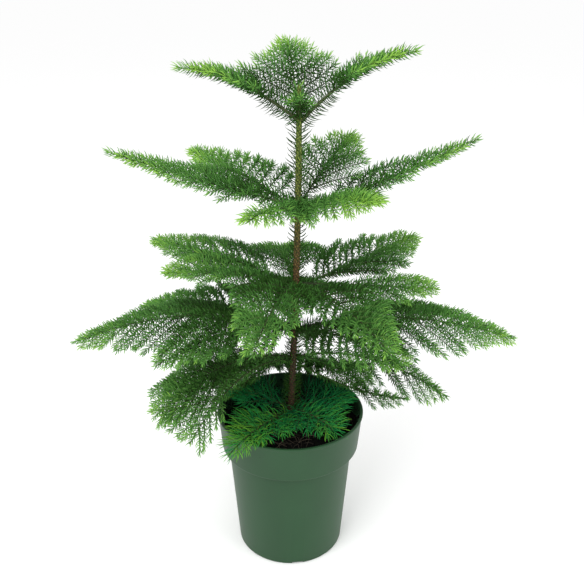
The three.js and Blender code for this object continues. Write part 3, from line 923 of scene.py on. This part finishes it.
def make_crumbs(settings, rng):
    clay = Clay()
    ball = bmesh.new()
    bmesh.ops.create_icosphere(ball, subdivisions=1, radius=1)
    shape = np.array([v.co[:] for v in ball.verts])
    faces = np.array([[v.index for v in f.verts] for f in ball.faces])
    ball.free()
    for _ in range(settings.lumps):
        reach = CRUMB_REACH * math.sqrt(rng.random())
        turn = rng.random() * FULL_TURN
        if reach < CRUMB_LEAST_REACH:
            continue
        out = level_way(turn)
        size = CRUMB_LEAST_SIZE + CRUMB_MORE_SIZE * rng.random() ** CRUMB_RARITY
        bumps = 1 + scatter(rng, CRUMB_BUMPS, (len(shape), 1))
        stretch = np.array(CRUMB_SHAPE) * at_least(rng, *CRUMB_STRETCH, 3)
        roll = rng.random() * FULL_TURN
        c, s = math.cos(roll), math.sin(roll)
        points = (shape * bumps * stretch * size) @ np.array(((c, s, 0), (-s, c, 0), (0, 0, 1)))
        place = out * reach
        place[2] = soil_height(place[0], place[1]) + CRUMB_RISE + CRUMB_SIZE_RISE * size
        if rng.random() < WALL_CRUMBS:
            height = WALL_CRUMB_FOOT + WALL_CRUMB_RISE * rng.random() ** WALL_CRUMB_RARITY
            place = out * (wall_radius(height) - CRUMB_STANDOFF * size)
            place[2] = height
        clay.add(points + place, [faces], int(rng.random() < BARK_CRUMBS))
    finishes = [
        soil_finish("peat_crumb", settings.dark, settings.light, scale=500),
        soil_finish("bark_crumb", settings.light, shade(settings.root, 0.7), scale=400),
    ]
    return make_piece("soil_crumbs", clay, finishes, smooth=False)


def make_rootlets(settings, rng):
    clay = Clay()
    steps = np.linspace(0, 1, len(ROOTLET_TAPER))
    for _ in range(settings.rootlets):
        reach = ROOTLET_REACH * rng.random() ** ROOTLET_SPREAD
        turn = rng.random() * FULL_TURN
        length = at_least(rng, *ROOTLET_LENGTH)
        way = rng.random() * FULL_TURN
        bend = way + scatter(rng, ROOTLET_BEND)
        foot = reach * level_way(turn)
        middle = foot + length / 2 * level_way(way)
        tip = middle + length / 2 * level_way(bend)
        if max(np.hypot(*middle[:2]), np.hypot(*tip[:2])) > ROOTLET_MOST_REACH:
            continue
        curve = Path(foot, middle, tip).at(steps)
        arch = np.sin(steps * math.pi) * at_least(rng, *ROOTLET_ARCH)
        curve[:, 2] = soil_height(curve[:, 0], curve[:, 1]) + ROOTLET_LIFT + arch
        radii = at_least(rng, *ROOTLET_RADIUS) * ROOTLET_TAPER
        clay.tube(curve, radii, ROOTLET_SIDES, int(rng.random() < DRY_NEEDLES), UP)
    finishes = [
        new_finish("dry_root", settings.root, 0.8)[0],
        new_finish("dry_needle", shade(settings.root, 0.45), 0.8)[0],
    ]
    return make_piece("soil_rootlets", clay, finishes)


class PINE_OT_soil(bpy.types.Operator):
    """Makes the potting soil, its loose crumbs and its dry rootlets"""

    bl_idname = "pine.soil"
    bl_label = "Soil"

    def execute(self, context):
        settings = context.scene.pine.soil
        rng = np.random.default_rng(SEED)
        make_soil_bed(settings)
        make_crumbs(settings, rng)
        make_rootlets(settings, rng)
        return {"FINISHED"}


# ---------- trunk and boughs ----------

CUSHION_WIDTH = 0.56  # of a leaf cushion's length
CUSHION_ROOM = 1.1  # of its own area, what a cushion has of the bark
CUSHION_SHARE = 0.6  # of its height, above which bark has the colour of a cushion, and below which the painted shade of the grooves
CUSHION_ROUNDNESS = 0.6
TRUNK_SIDES = 28
TRUNK_RINGS = 560
TRUNK_LEAST_RADIUS = 0.6
WHORL_SWELL, WHORL_SWELL_HEIGHT = 0.55, 5.5  # of the trunk, where a whorl leaves it
ROUGHNESS = 0.3  # of the trunk's bark, for one unit of its noise
ROUGHNESS_ROUND, ROUGHNESS_ALONG = 1.6, 0.16  # the scale of that noise
ROUGHNESS_KIND = (0.9, 2.1, 3)
TRUNK_AGE_AND_SHADE = (160, 500)  # the heights where its bark is old and young, with painted shade near the first
BOUGH_SIDES = 8
BOUGH_RING_GAP = 0.8
BOUGH_COLLAR, BOUGH_COLLAR_LENGTH = 0.6, 2.5
BOUGH_CUSHION_LENGTH = 3.2
BOUGH_CUSHION_SHARE = 0.8  # of the height of the trunk's
# the heights where bough bark is old and young, with painted shade near the first
BOUGH_AGE_AND_SHADE = (240, 520)


def cushions(along, turns, radius, length, height):
    """The relief of the leaf cushions that wind round a limb, over rings and turns."""
    width = CUSHION_WIDTH * length
    step = CUSHION_ROOM * width * length / 2 / (FULL_TURN * radius)
    relief = np.zeros((len(along), len(turns)))
    for i in range(int(along[-1] / step) + 1):
        up = np.abs(along - i * step) / (length / 2)
        around = np.abs((turns - i * GOLDEN_TURN + math.pi) % FULL_TURN - math.pi)
        away = around * radius / (width / 2)
        near = up < 1
        relief[near] = np.maximum(relief[near], 1 - up[near, None] - away)
    return height * relief**CUSHION_ROUNDNESS


def make_trunk(settings):
    clay = Clay()
    share = np.linspace(0, 1, TRUNK_RINGS)
    turns = round_turns(TRUNK_SIDES)
    points = TRUNK_PATH.at(share)
    heights = points[:, 2]
    length, scar = settings.scar_length / MM, settings.scar / MM
    relief = cushions(share * TRUNK_PATH.length, turns, TRUNK_FOOT_RADIUS, length, scar)
    radii = trunk_radius(share)[:, None] * np.ones(TRUNK_SIDES) + relief
    for whorl in CROWN:
        swell = np.exp(-(((heights - whorl.height) / WHORL_SWELL_HEIGHT) ** 2))
        radii = radii + WHORL_SWELL * swell[:, None]
    for i, height in enumerate(heights):
        for j, turn in enumerate(turns):
            x, y = math.cos(turn) * ROUGHNESS_ROUND, math.sin(turn) * ROUGHNESS_ROUND
            spot = Vector((x, y, height * ROUGHNESS_ALONG))
            radii[i, j] += ROUGHNESS * noise.fractal(spot, *ROUGHNESS_KIND)
    radii = np.maximum(radii, TRUNK_LEAST_RADIUS)
    corners = relief[:-1] + relief[1:]
    raised = (corners + np.roll(corners, -1, 1)) / 4
    is_cushion = (raised > CUSHION_SHARE * scar).astype(int).ravel()
    clay.tube(points, radii, TRUNK_SIDES, (is_cushion, 0, 0), ASIDE)
    # The bark between the cushions, trunk_bark, is the cushions' colour darkened as painted shade in
    # the grooves.
    groove_shade = [shade(colour, settings.groove_shade) for colour in (settings.old, settings.young)]
    finishes = [
        bark_finish("trunk_bark", *groove_shade, *TRUNK_AGE_AND_SHADE),
        bark_finish("trunk_cushions", settings.old, settings.young, *TRUNK_AGE_AND_SHADE),
    ]
    return make_piece("trunk_bark", clay, finishes, ["trunk"])


def bare_branches():
    """The branches that start with a bough, with no twigs on it."""
    return [branch for whorl in WHORLS for branch in branches_of(whorl) if branch.bare]


def make_boughs(settings):
    clay = Clay()
    turns = round_turns(BOUGH_SIDES)
    scar = settings.scar / MM * BOUGH_CUSHION_SHARE
    branches = bare_branches()
    for branch in branches:
        length = branch.path.length * (branch.bare - branch.start)
        share = np.linspace(0, 1, int(length / BOUGH_RING_GAP))
        points = branch.path.at(lerp(branch.start, branch.bare, share))
        radii = lerp(BOUGH_FOOT_RADIUS, BOUGH_TIP_RADIUS, share)[:, None]
        collar = BOUGH_COLLAR * np.exp(-share * length / BOUGH_COLLAR_LENGTH)[:, None]
        along = share * length
        relief = cushions(along, turns, BOUGH_FOOT_RADIUS, BOUGH_CUSHION_LENGTH, scar)
        clay.tube(points, radii + collar + relief, BOUGH_SIDES, 0, branch.aside)
    finish = bark_finish("bough_bark", shade(settings.limb, 0.8), settings.limb, *BOUGH_AGE_AND_SHADE)
    nodes = [f"bough_{branch.name}" for branch in branches]
    return make_piece("boughs", clay, [finish], nodes)


class PINE_OT_trunk(bpy.types.Operator):
    """Makes the trunk, with its flare and its spiral of leaf cushions"""

    bl_idname = "pine.trunk"
    bl_label = "Trunk"

    def execute(self, context):
        make_trunk(context.scene.pine.bark)
        return {"FINISHED"}


class PINE_OT_boughs(bpy.types.Operator):
    """Makes the bare boughs between the trunk and the fronds"""

    bl_idname = "pine.boughs"
    bl_label = "Boughs"

    def execute(self, context):
        make_boughs(context.scene.pine.bark)
        return {"FINISHED"}


# ---------- twigs and needles ----------

CROWN_TINTS = ("shaded", "deep", "leaf", "fresh", "tip")  # from 0 to 1 of freshness
LOW_TINTS = ("shaded", "leaf", "fresh", "light", "tip")
START_TURN = 6.28  # radians, the most that the first needle is turned round its twig
STEP_SCATTER = 0.6  # of a needle's pitch
TURN_SCATTER = 0.2  # radians
ROOT_SCATTER, TIP_SCATTER = 6, 7
NEEDLE_LENGTH = (0.86, 0.28)  # of its habit's
NEEDLE_THICKNESS = (0.85, 0.3)
ROOT_CLOSING, TIP_CLOSING, SIZE_CLOSING = 0.55, 0.8, 0.25  # what the very end loses
GLOW_REACH = 12.0  # how far fresh growth reaches back from a twig's end

STEM_STEPS, STEM_SIDES = 26, 6
TWIG_STEPS, TWIG_SIDES = 7, 4
TWIG_FOOT_RADIUS, TWIG_TIP_RADIUS = 0.75, 0.32
GREEN_TWIGS = 0.5  # the share of a frond from which its twigs are green
FIRST_NEEDLE = 0.06  # the share of a twig where its needles start
FRESH_SCATTER = 0.12
DEPTH_SHADE_GAIN = 0.5  # of freshness, from a frond's foot to its tip: painted shade near the trunk, painted light at the ends
DEPTH_SHADE_MIDDLE = 0.45  # the share along a frond where it is as fresh as its whorl; twigs before it get painted shade, twigs after it painted light
STRIKE_STEPS = 9


@dataclass
class Habit:
    """How the needles of a piece grow."""

    length: float
    thickness: float
    pitch: float  # along the twig, from one needle to the next
    root_angle: float = 74.0  # from the twig
    tip_angle: float = 44.0
    closing: float = 8.0  # how far from a twig's end its needles close up
    crest: float = 0.15  # how much longer needles are on top
    foot: float = 0.3  # from the twig's middle to a needle's root
    glow: float = 0.5  # how much fresher a twig's end is
    mottle: float = 0.10  # how much a needle's freshness varies
    comb: float = 0.0  # how far needles lie to two sides


def grow_needles(clay, path, span, aside, habit, fresh, rng, new_end=True):
    """Needles wound along a stretch of a path, which may end in new growth."""
    length = path.length * (span[1] - span[0])
    count = max(3, int(length / habit.pitch))
    steps = (np.arange(count) + rng.random(count) * STEP_SCATTER) / count
    share = lerp(span[0], span[1], steps)
    feet = path.at(share)
    heading = path.heading(share)
    across, upright = ways_across(heading, aside)
    turn = np.arange(count) * GOLDEN_TURN + rng.random() * START_TURN
    turn = turn + rng.normal(0, TURN_SCATTER, count)
    combed = (1 - habit.comb) * np.sin(turn)[:, None]
    outward = unit(across * np.cos(turn)[:, None] + upright * combed)
    to_end = (1 - steps) * length
    closed = np.exp(-to_end / habit.closing) if new_end else np.zeros(count)
    root = habit.root_angle * (1 - ROOT_CLOSING * closed) + rng.normal(0, ROOT_SCATTER, count)
    tip = habit.tip_angle * (1 - TIP_CLOSING * closed) + rng.normal(0, TIP_SCATTER, count)
    size = habit.length * at_least(rng, *NEEDLE_LENGTH, count) * (1 - SIZE_CLOSING * closed)
    size = size * (1 + habit.crest * outward[:, 2])
    thickness = habit.thickness * at_least(rng, *NEEDLE_THICKNESS, count)
    # Freshness picks a tint, from the painted shade of the crown's inside to the light green of new
    # growth.
    freshness = fresh + habit.glow * np.exp(-to_end / GLOW_REACH) * new_end
    freshness = freshness + rng.normal(0, habit.mottle, count)
    tints = len(CROWN_TINTS)
    tint = np.clip((freshness * tints).astype(int), 0, tints - 1)
    angles = np.radians(root), np.radians(tip)
    clay.needles(feet + outward * habit.foot, heading, outward, size, thickness, angles, tint)


def twig_share(along, taper):
    """A twig's length at a share of its frond, as a share of its whorl's spread."""
    return min(1, TWIG_FOOT_SHARE + along) * (1 - along) ** taper + TWIG_TIP_SHARE


def leaves_its_space(branch, side, point):
    away = point - branch.path.points[0]
    angle = math.atan2((away @ branch.aside) * side, away @ branch.out)
    return math.degrees(angle) > branch.own_angles[side]


def strikes_pot(path):
    points = path.at(np.linspace(0, 1, STRIKE_STEPS))
    reach = np.hypot(points[:, 0], points[:, 1])
    over_pot = (reach < RIM_RADIUS + POT_MARGIN) & (points[:, 2] < POT_HEIGHT + POT_MARGIN)
    in_mouth = (reach < RIM_RADIUS - MOUTH_MARGIN) & (points[:, 2] > SOIL_LEVEL + POT_MARGIN)
    return bool((over_pot & ~in_mouth).any())


def lay_out_twig(branch, index, side, rng):
    """The curve of one twig, shortened until it keeps to its frond's space, or None."""
    whorl, arm = branch.whorl, branch.arm
    place = index + 0.5 - TWIG_STAGGER * side + scatter(rng, PLACE_SCATTER)
    share = min(max(place / branch.twig_count, 0), 1)
    at = lerp(branch.twig_start, STEM_END, share)
    splay = lerp(arm.splay or whorl.splay, TWIG_TIP_ANGLE, share)
    lean = math.radians(splay + scatter(rng, ANGLE_SCATTER))
    full = whorl.spread * arm.fullness * twig_share(share, whorl.taper)
    full *= at_least(rng, *TWIG_LENGTH)
    heading = branch.path.heading(at)[0]
    normal = unit(np.cross(heading, branch.aside))
    foot = branch.path.at(at)[0]
    lift = whorl.lift + arm.lift + scatter(rng, LIFT_SCATTER)
    swing = math.radians(at_least(rng, *TWIG_SWING))
    length = full
    while length > max(SHORTEST_TWIG, LEAST_SHARE * full):
        ways = []
        for turn, rise in ((swing, -whorl.curl), (-swing, whorl.curl)):
            way = (
                heading * math.cos(lean + turn)
                + branch.aside * side * math.sin(lean + turn)
                + normal * (lift + rise)
            )
            ways.append(unit(way))
        middle = foot + ways[0] * length / 2
        path = Path(foot, middle, middle + ways[1] * length / 2)
        if not leaves_its_space(branch, side, path.points[2]) and not strikes_pot(path):
            return path, share
        length *= SHORTENING
    return None


def grow_frond(branch, twigs, needles, habit, rng):
    """The stem of a frond, its twigs on both sides and the needles on all of them."""
    fresh = branch.whorl.fresh + branch.arm.fresh
    span = (branch.frond_start, 1)
    stem = branch.path.at(np.linspace(*span, STEM_STEPS))
    radii = np.linspace(BOUGH_TIP_RADIUS, STEM_TIP_RADIUS, STEM_STEPS)
    twigs.tube(stem, radii, STEM_SIDES, 0, branch.aside)
    grow_needles(needles, branch.path, span, branch.aside, habit, fresh, rng)
    radii = np.linspace(TWIG_FOOT_RADIUS, TWIG_TIP_RADIUS, TWIG_STEPS)
    for index in range(branch.twig_count):
        for side in SIDES:
            made = lay_out_twig(branch, index, side, rng)
            if made is None:
                continue
            path, share = made
            points = path.at(np.linspace(0, 1, TWIG_STEPS))
            twigs.tube(points, radii, TWIG_SIDES, int(share > GREEN_TWIGS), UP)
            # A twig's freshness gets chance, and painted shade near the trunk and painted light near
            # the frond's tip.
            depth_shade_and_scatter = scatter(rng, FRESH_SCATTER) + DEPTH_SHADE_GAIN * (share - DEPTH_SHADE_MIDDLE)
            grow_needles(needles, path, (FIRST_NEEDLE, 1), UP, habit, fresh + depth_shade_and_scatter, rng)


def twig_finishes(settings):
    return [
        # The old twig finish holds painted shade as well as the old twigs' own colour.
        new_finish("twig_old_shaded", settings.twig, 0.75)[0],
        new_finish("twig_green", settings.green_twig, 0.65)[0],
    ]


def grow_fronds(name, branches, habit, rng, finishes, twig_wood):
    """Grows some fronds and joins their twigs into one piece and their needles into another."""
    twigs, needles = Clay(), Clay()
    for branch in branches:
        grow_frond(branch, twigs, needles, habit, rng)
    nodes = [f"frond_{branch.name}" for branch in branches]
    make_piece(f"twigs_{name}", twigs, twig_wood, nodes)
    make_piece(f"needles_{name}", needles, finishes, nodes)


class PINE_OT_crown(bpy.types.Operator):
    """Grows the twigs and needles of the five whorls"""

    bl_idname = "pine.crown"
    bl_label = "Crown"

    def execute(self, context):
        settings = context.scene.pine.needles
        finishes = needle_finishes("needle", CROWN_TINTS, settings)
        wood = twig_finishes(settings)
        thickness, pitch = settings.thickness / MM, settings.pitch / MM
        for number, whorl in enumerate(CROWN):
            rng = np.random.default_rng(SEED + number)
            habit = Habit(whorl.needle, thickness, pitch, glow=whorl.glow, comb=whorl.comb)
            branches = branches_of(whorl)
            for part, (start, stop) in enumerate(whorl.pieces):
                name = f"{whorl.name}_{part + 1}"
                grow_fronds(name, branches[start:stop], habit, rng, finishes, wood)
        return {"FINISHED"}


# From one height of the trunk to another: its needles' length, pitch and freshness. Lower down the
# needles are older and also less fresh as painted shade inside the crown.
STRETCHES = (
    (164, 285, 12.0, 0.4, -0.10),
    (285, 333, 10.0, 1.0, -0.05),
    (333, 419, 11.5, 0.75, 0.0),
    (419, 512, 13.0, 0.75, 0.08),
    (512, TRUNK_TOP, 11.0, 1.0, 0.15),
)
BOUGH_NEEDLE = 1.4  # of the length of its frond's
BOUGH_NEEDLE_PITCH = 0.42
BOUGH_SHADE = 0.12  # how much less fresh they are, as painted shade near the trunk


class PINE_OT_leader(bpy.types.Operator):
    """Grows the needles on the trunk and on the bare boughs"""

    bl_idname = "pine.leader"
    bl_label = "Leader"

    def execute(self, context):
        settings = context.scene.pine.needles
        rng = np.random.default_rng(SEED + 10)
        needles = Clay()
        thickness = settings.thickness / MM
        for low, high, length, pitch, fresh in STRETCHES:
            span = (trunk_share(low), trunk_share(high))
            habit = Habit(
                length, thickness, pitch, root_angle=62, tip_angle=42, crest=0, foot=2.6
            )
            new_end = high == TRUNK_TOP
            grow_needles(needles, TRUNK_PATH, span, ASIDE, habit, fresh, rng, new_end)
        for branch in bare_branches():
            length = branch.whorl.needle * BOUGH_NEEDLE
            habit = Habit(
                length, thickness, BOUGH_NEEDLE_PITCH,
                root_angle=84, tip_angle=58, crest=0.1, foot=0.9,
            )
            span = (branch.start, branch.frond_start)
            fresh = branch.whorl.fresh - BOUGH_SHADE
            grow_needles(needles, branch.path, span, branch.aside, habit, fresh, rng, False)
        finishes = needle_finishes("needle", CROWN_TINTS, settings)
        make_piece("needles_leader", needles, finishes)
        return {"FINISHED"}


class PINE_OT_low_fronds(bpy.types.Operator):
    """Grows the soft low fronds that lie over the soil"""

    bl_idname = "pine.low_fronds"
    bl_label = "Low fronds"

    def execute(self, context):
        settings = context.scene.pine.low
        rng = np.random.default_rng(SEED + 20)
        habit = Habit(
            LOW_WHORL.needle, settings.thickness / MM, settings.pitch / MM,
            root_angle=58, tip_angle=24, glow=LOW_WHORL.glow, mottle=0.11, comb=LOW_WHORL.comb,
        )
        finishes = needle_finishes("low", LOW_TINTS, settings)
        wood = twig_finishes(context.scene.pine.needles)
        branches = branches_of(LOW_WHORL)
        grow_fronds(LOW_WHORL.name, branches, habit, rng, finishes, wood)
        return {"FINISHED"}


# ---------- stage ----------

FLOOR_HALF = 30  # metres, as are the places and sizes of the lights
LIT_POINT = (0, 0, 0.33)
KEY_PLACE, KEY_SIZE = (-0.9, -1.2, 1.7), (1.4, 1.0)
FILL_PLACE, FILL_SIZE = (1.4, -0.9, 0.9), (1.0, 1.2)
FILL_SHARE = 0.35  # of the key light's power
SENSOR_WIDTH = 36  # millimetres


def make_floor(settings):
    grid = bmesh.new()
    bmesh.ops.create_grid(grid, x_segments=2, y_segments=2, size=FLOOR_HALF)
    floor = new_bmesh_object("floor", grid)
    finish, _ = new_finish("floor_paper", settings.floor, 0.9, specular=0)
    floor.data.materials.append(finish)


def make_softbox(name, place, size, power):
    light = bpy.data.lights.new(name, "AREA")
    light.shape = "RECTANGLE"
    light.size, light.size_y = size
    light.energy = power
    holder = new_object(name, light)
    holder.location = place
    way = Vector(LIT_POINT) - Vector(place)
    holder.rotation_euler = way.to_track_quat("-Z", "Y").to_euler()


def make_sky(strength):
    world = bpy.data.worlds.new("studio")
    world.use_nodes = True
    feed(world.node_tree.nodes["Background"], Color=(1, 1, 1, 1), Strength=strength)
    bpy.context.scene.world = world


def make_camera(settings):
    lens = bpy.data.cameras.new("camera")
    lens.sensor_fit = "HORIZONTAL"
    lens.sensor_width = SENSOR_WIDTH
    lens.lens = settings.lens
    camera = new_object("camera", lens)
    camera.location = settings.camera
    camera.rotation_euler = (math.pi / 2 - settings.tilt, 0, 0)
    bpy.context.scene.camera = camera


class PINE_OT_stage(bpy.types.Operator):
    """Makes the floor, the soft studio light and the camera"""

    bl_idname = "pine.stage"
    bl_label = "Stage"

    def execute(self, context):
        settings = context.scene.pine.stage
        make_floor(settings)
        make_sky(settings.sky)
        make_softbox("key_light", KEY_PLACE, KEY_SIZE, settings.key)
        make_softbox("fill_light", FILL_PLACE, FILL_SIZE, settings.key * FILL_SHARE)
        make_camera(settings)
        context.scene.view_settings.view_transform = "Standard"
        return {"FINISHED"}


# ---------- panel and registration ----------

STEPS = ("pot", "soil", "trunk", "boughs", "crown", "leader", "low_fronds", "stage")
GROUPS = ("bark", "needles", "low", "pot", "soil", "stage")


class PINE_PT_panel(bpy.types.Panel):
    """Lists the plant's sizes and colours, and what makes each piece"""

    bl_idname = "PINE_PT_panel"
    bl_label = "Potted Pine"
    bl_space_type = "VIEW_3D"
    bl_region_type = "UI"
    bl_category = "Pine"

    def draw(self, context):
        settings = context.scene.pine
        for group in GROUPS:
            box = self.layout.box()
            box.label(text=group.capitalize())
            for name in getattr(settings, group).__annotations__:
                box.prop(getattr(settings, group), name)
        for step in STEPS:
            self.layout.operator(f"pine.{step}")


CLASSES = (
    PineBarkSettings, PineNeedleSettings, PineLowFrondSettings, PinePotSettings,
    PineSoilSettings, PineStageSettings, PineSettings,
    PINE_OT_pot, PINE_OT_soil, PINE_OT_trunk, PINE_OT_boughs,
    PINE_OT_crown, PINE_OT_leader, PINE_OT_low_fronds, PINE_OT_stage,
    PINE_PT_panel,
)


def register():
    for made in CLASSES:
        bpy.utils.register_class(made)
    bpy.types.Scene.pine = bpy.props.PointerProperty(type=PineSettings)


def unregister():
    del bpy.types.Scene.pine
    for made in reversed(CLASSES):
        bpy.utils.unregister_class(made)


def main():
    register()
    for step in STEPS:
        getattr(bpy.ops.pine, step)()


if __name__ == "__main__":
    main()
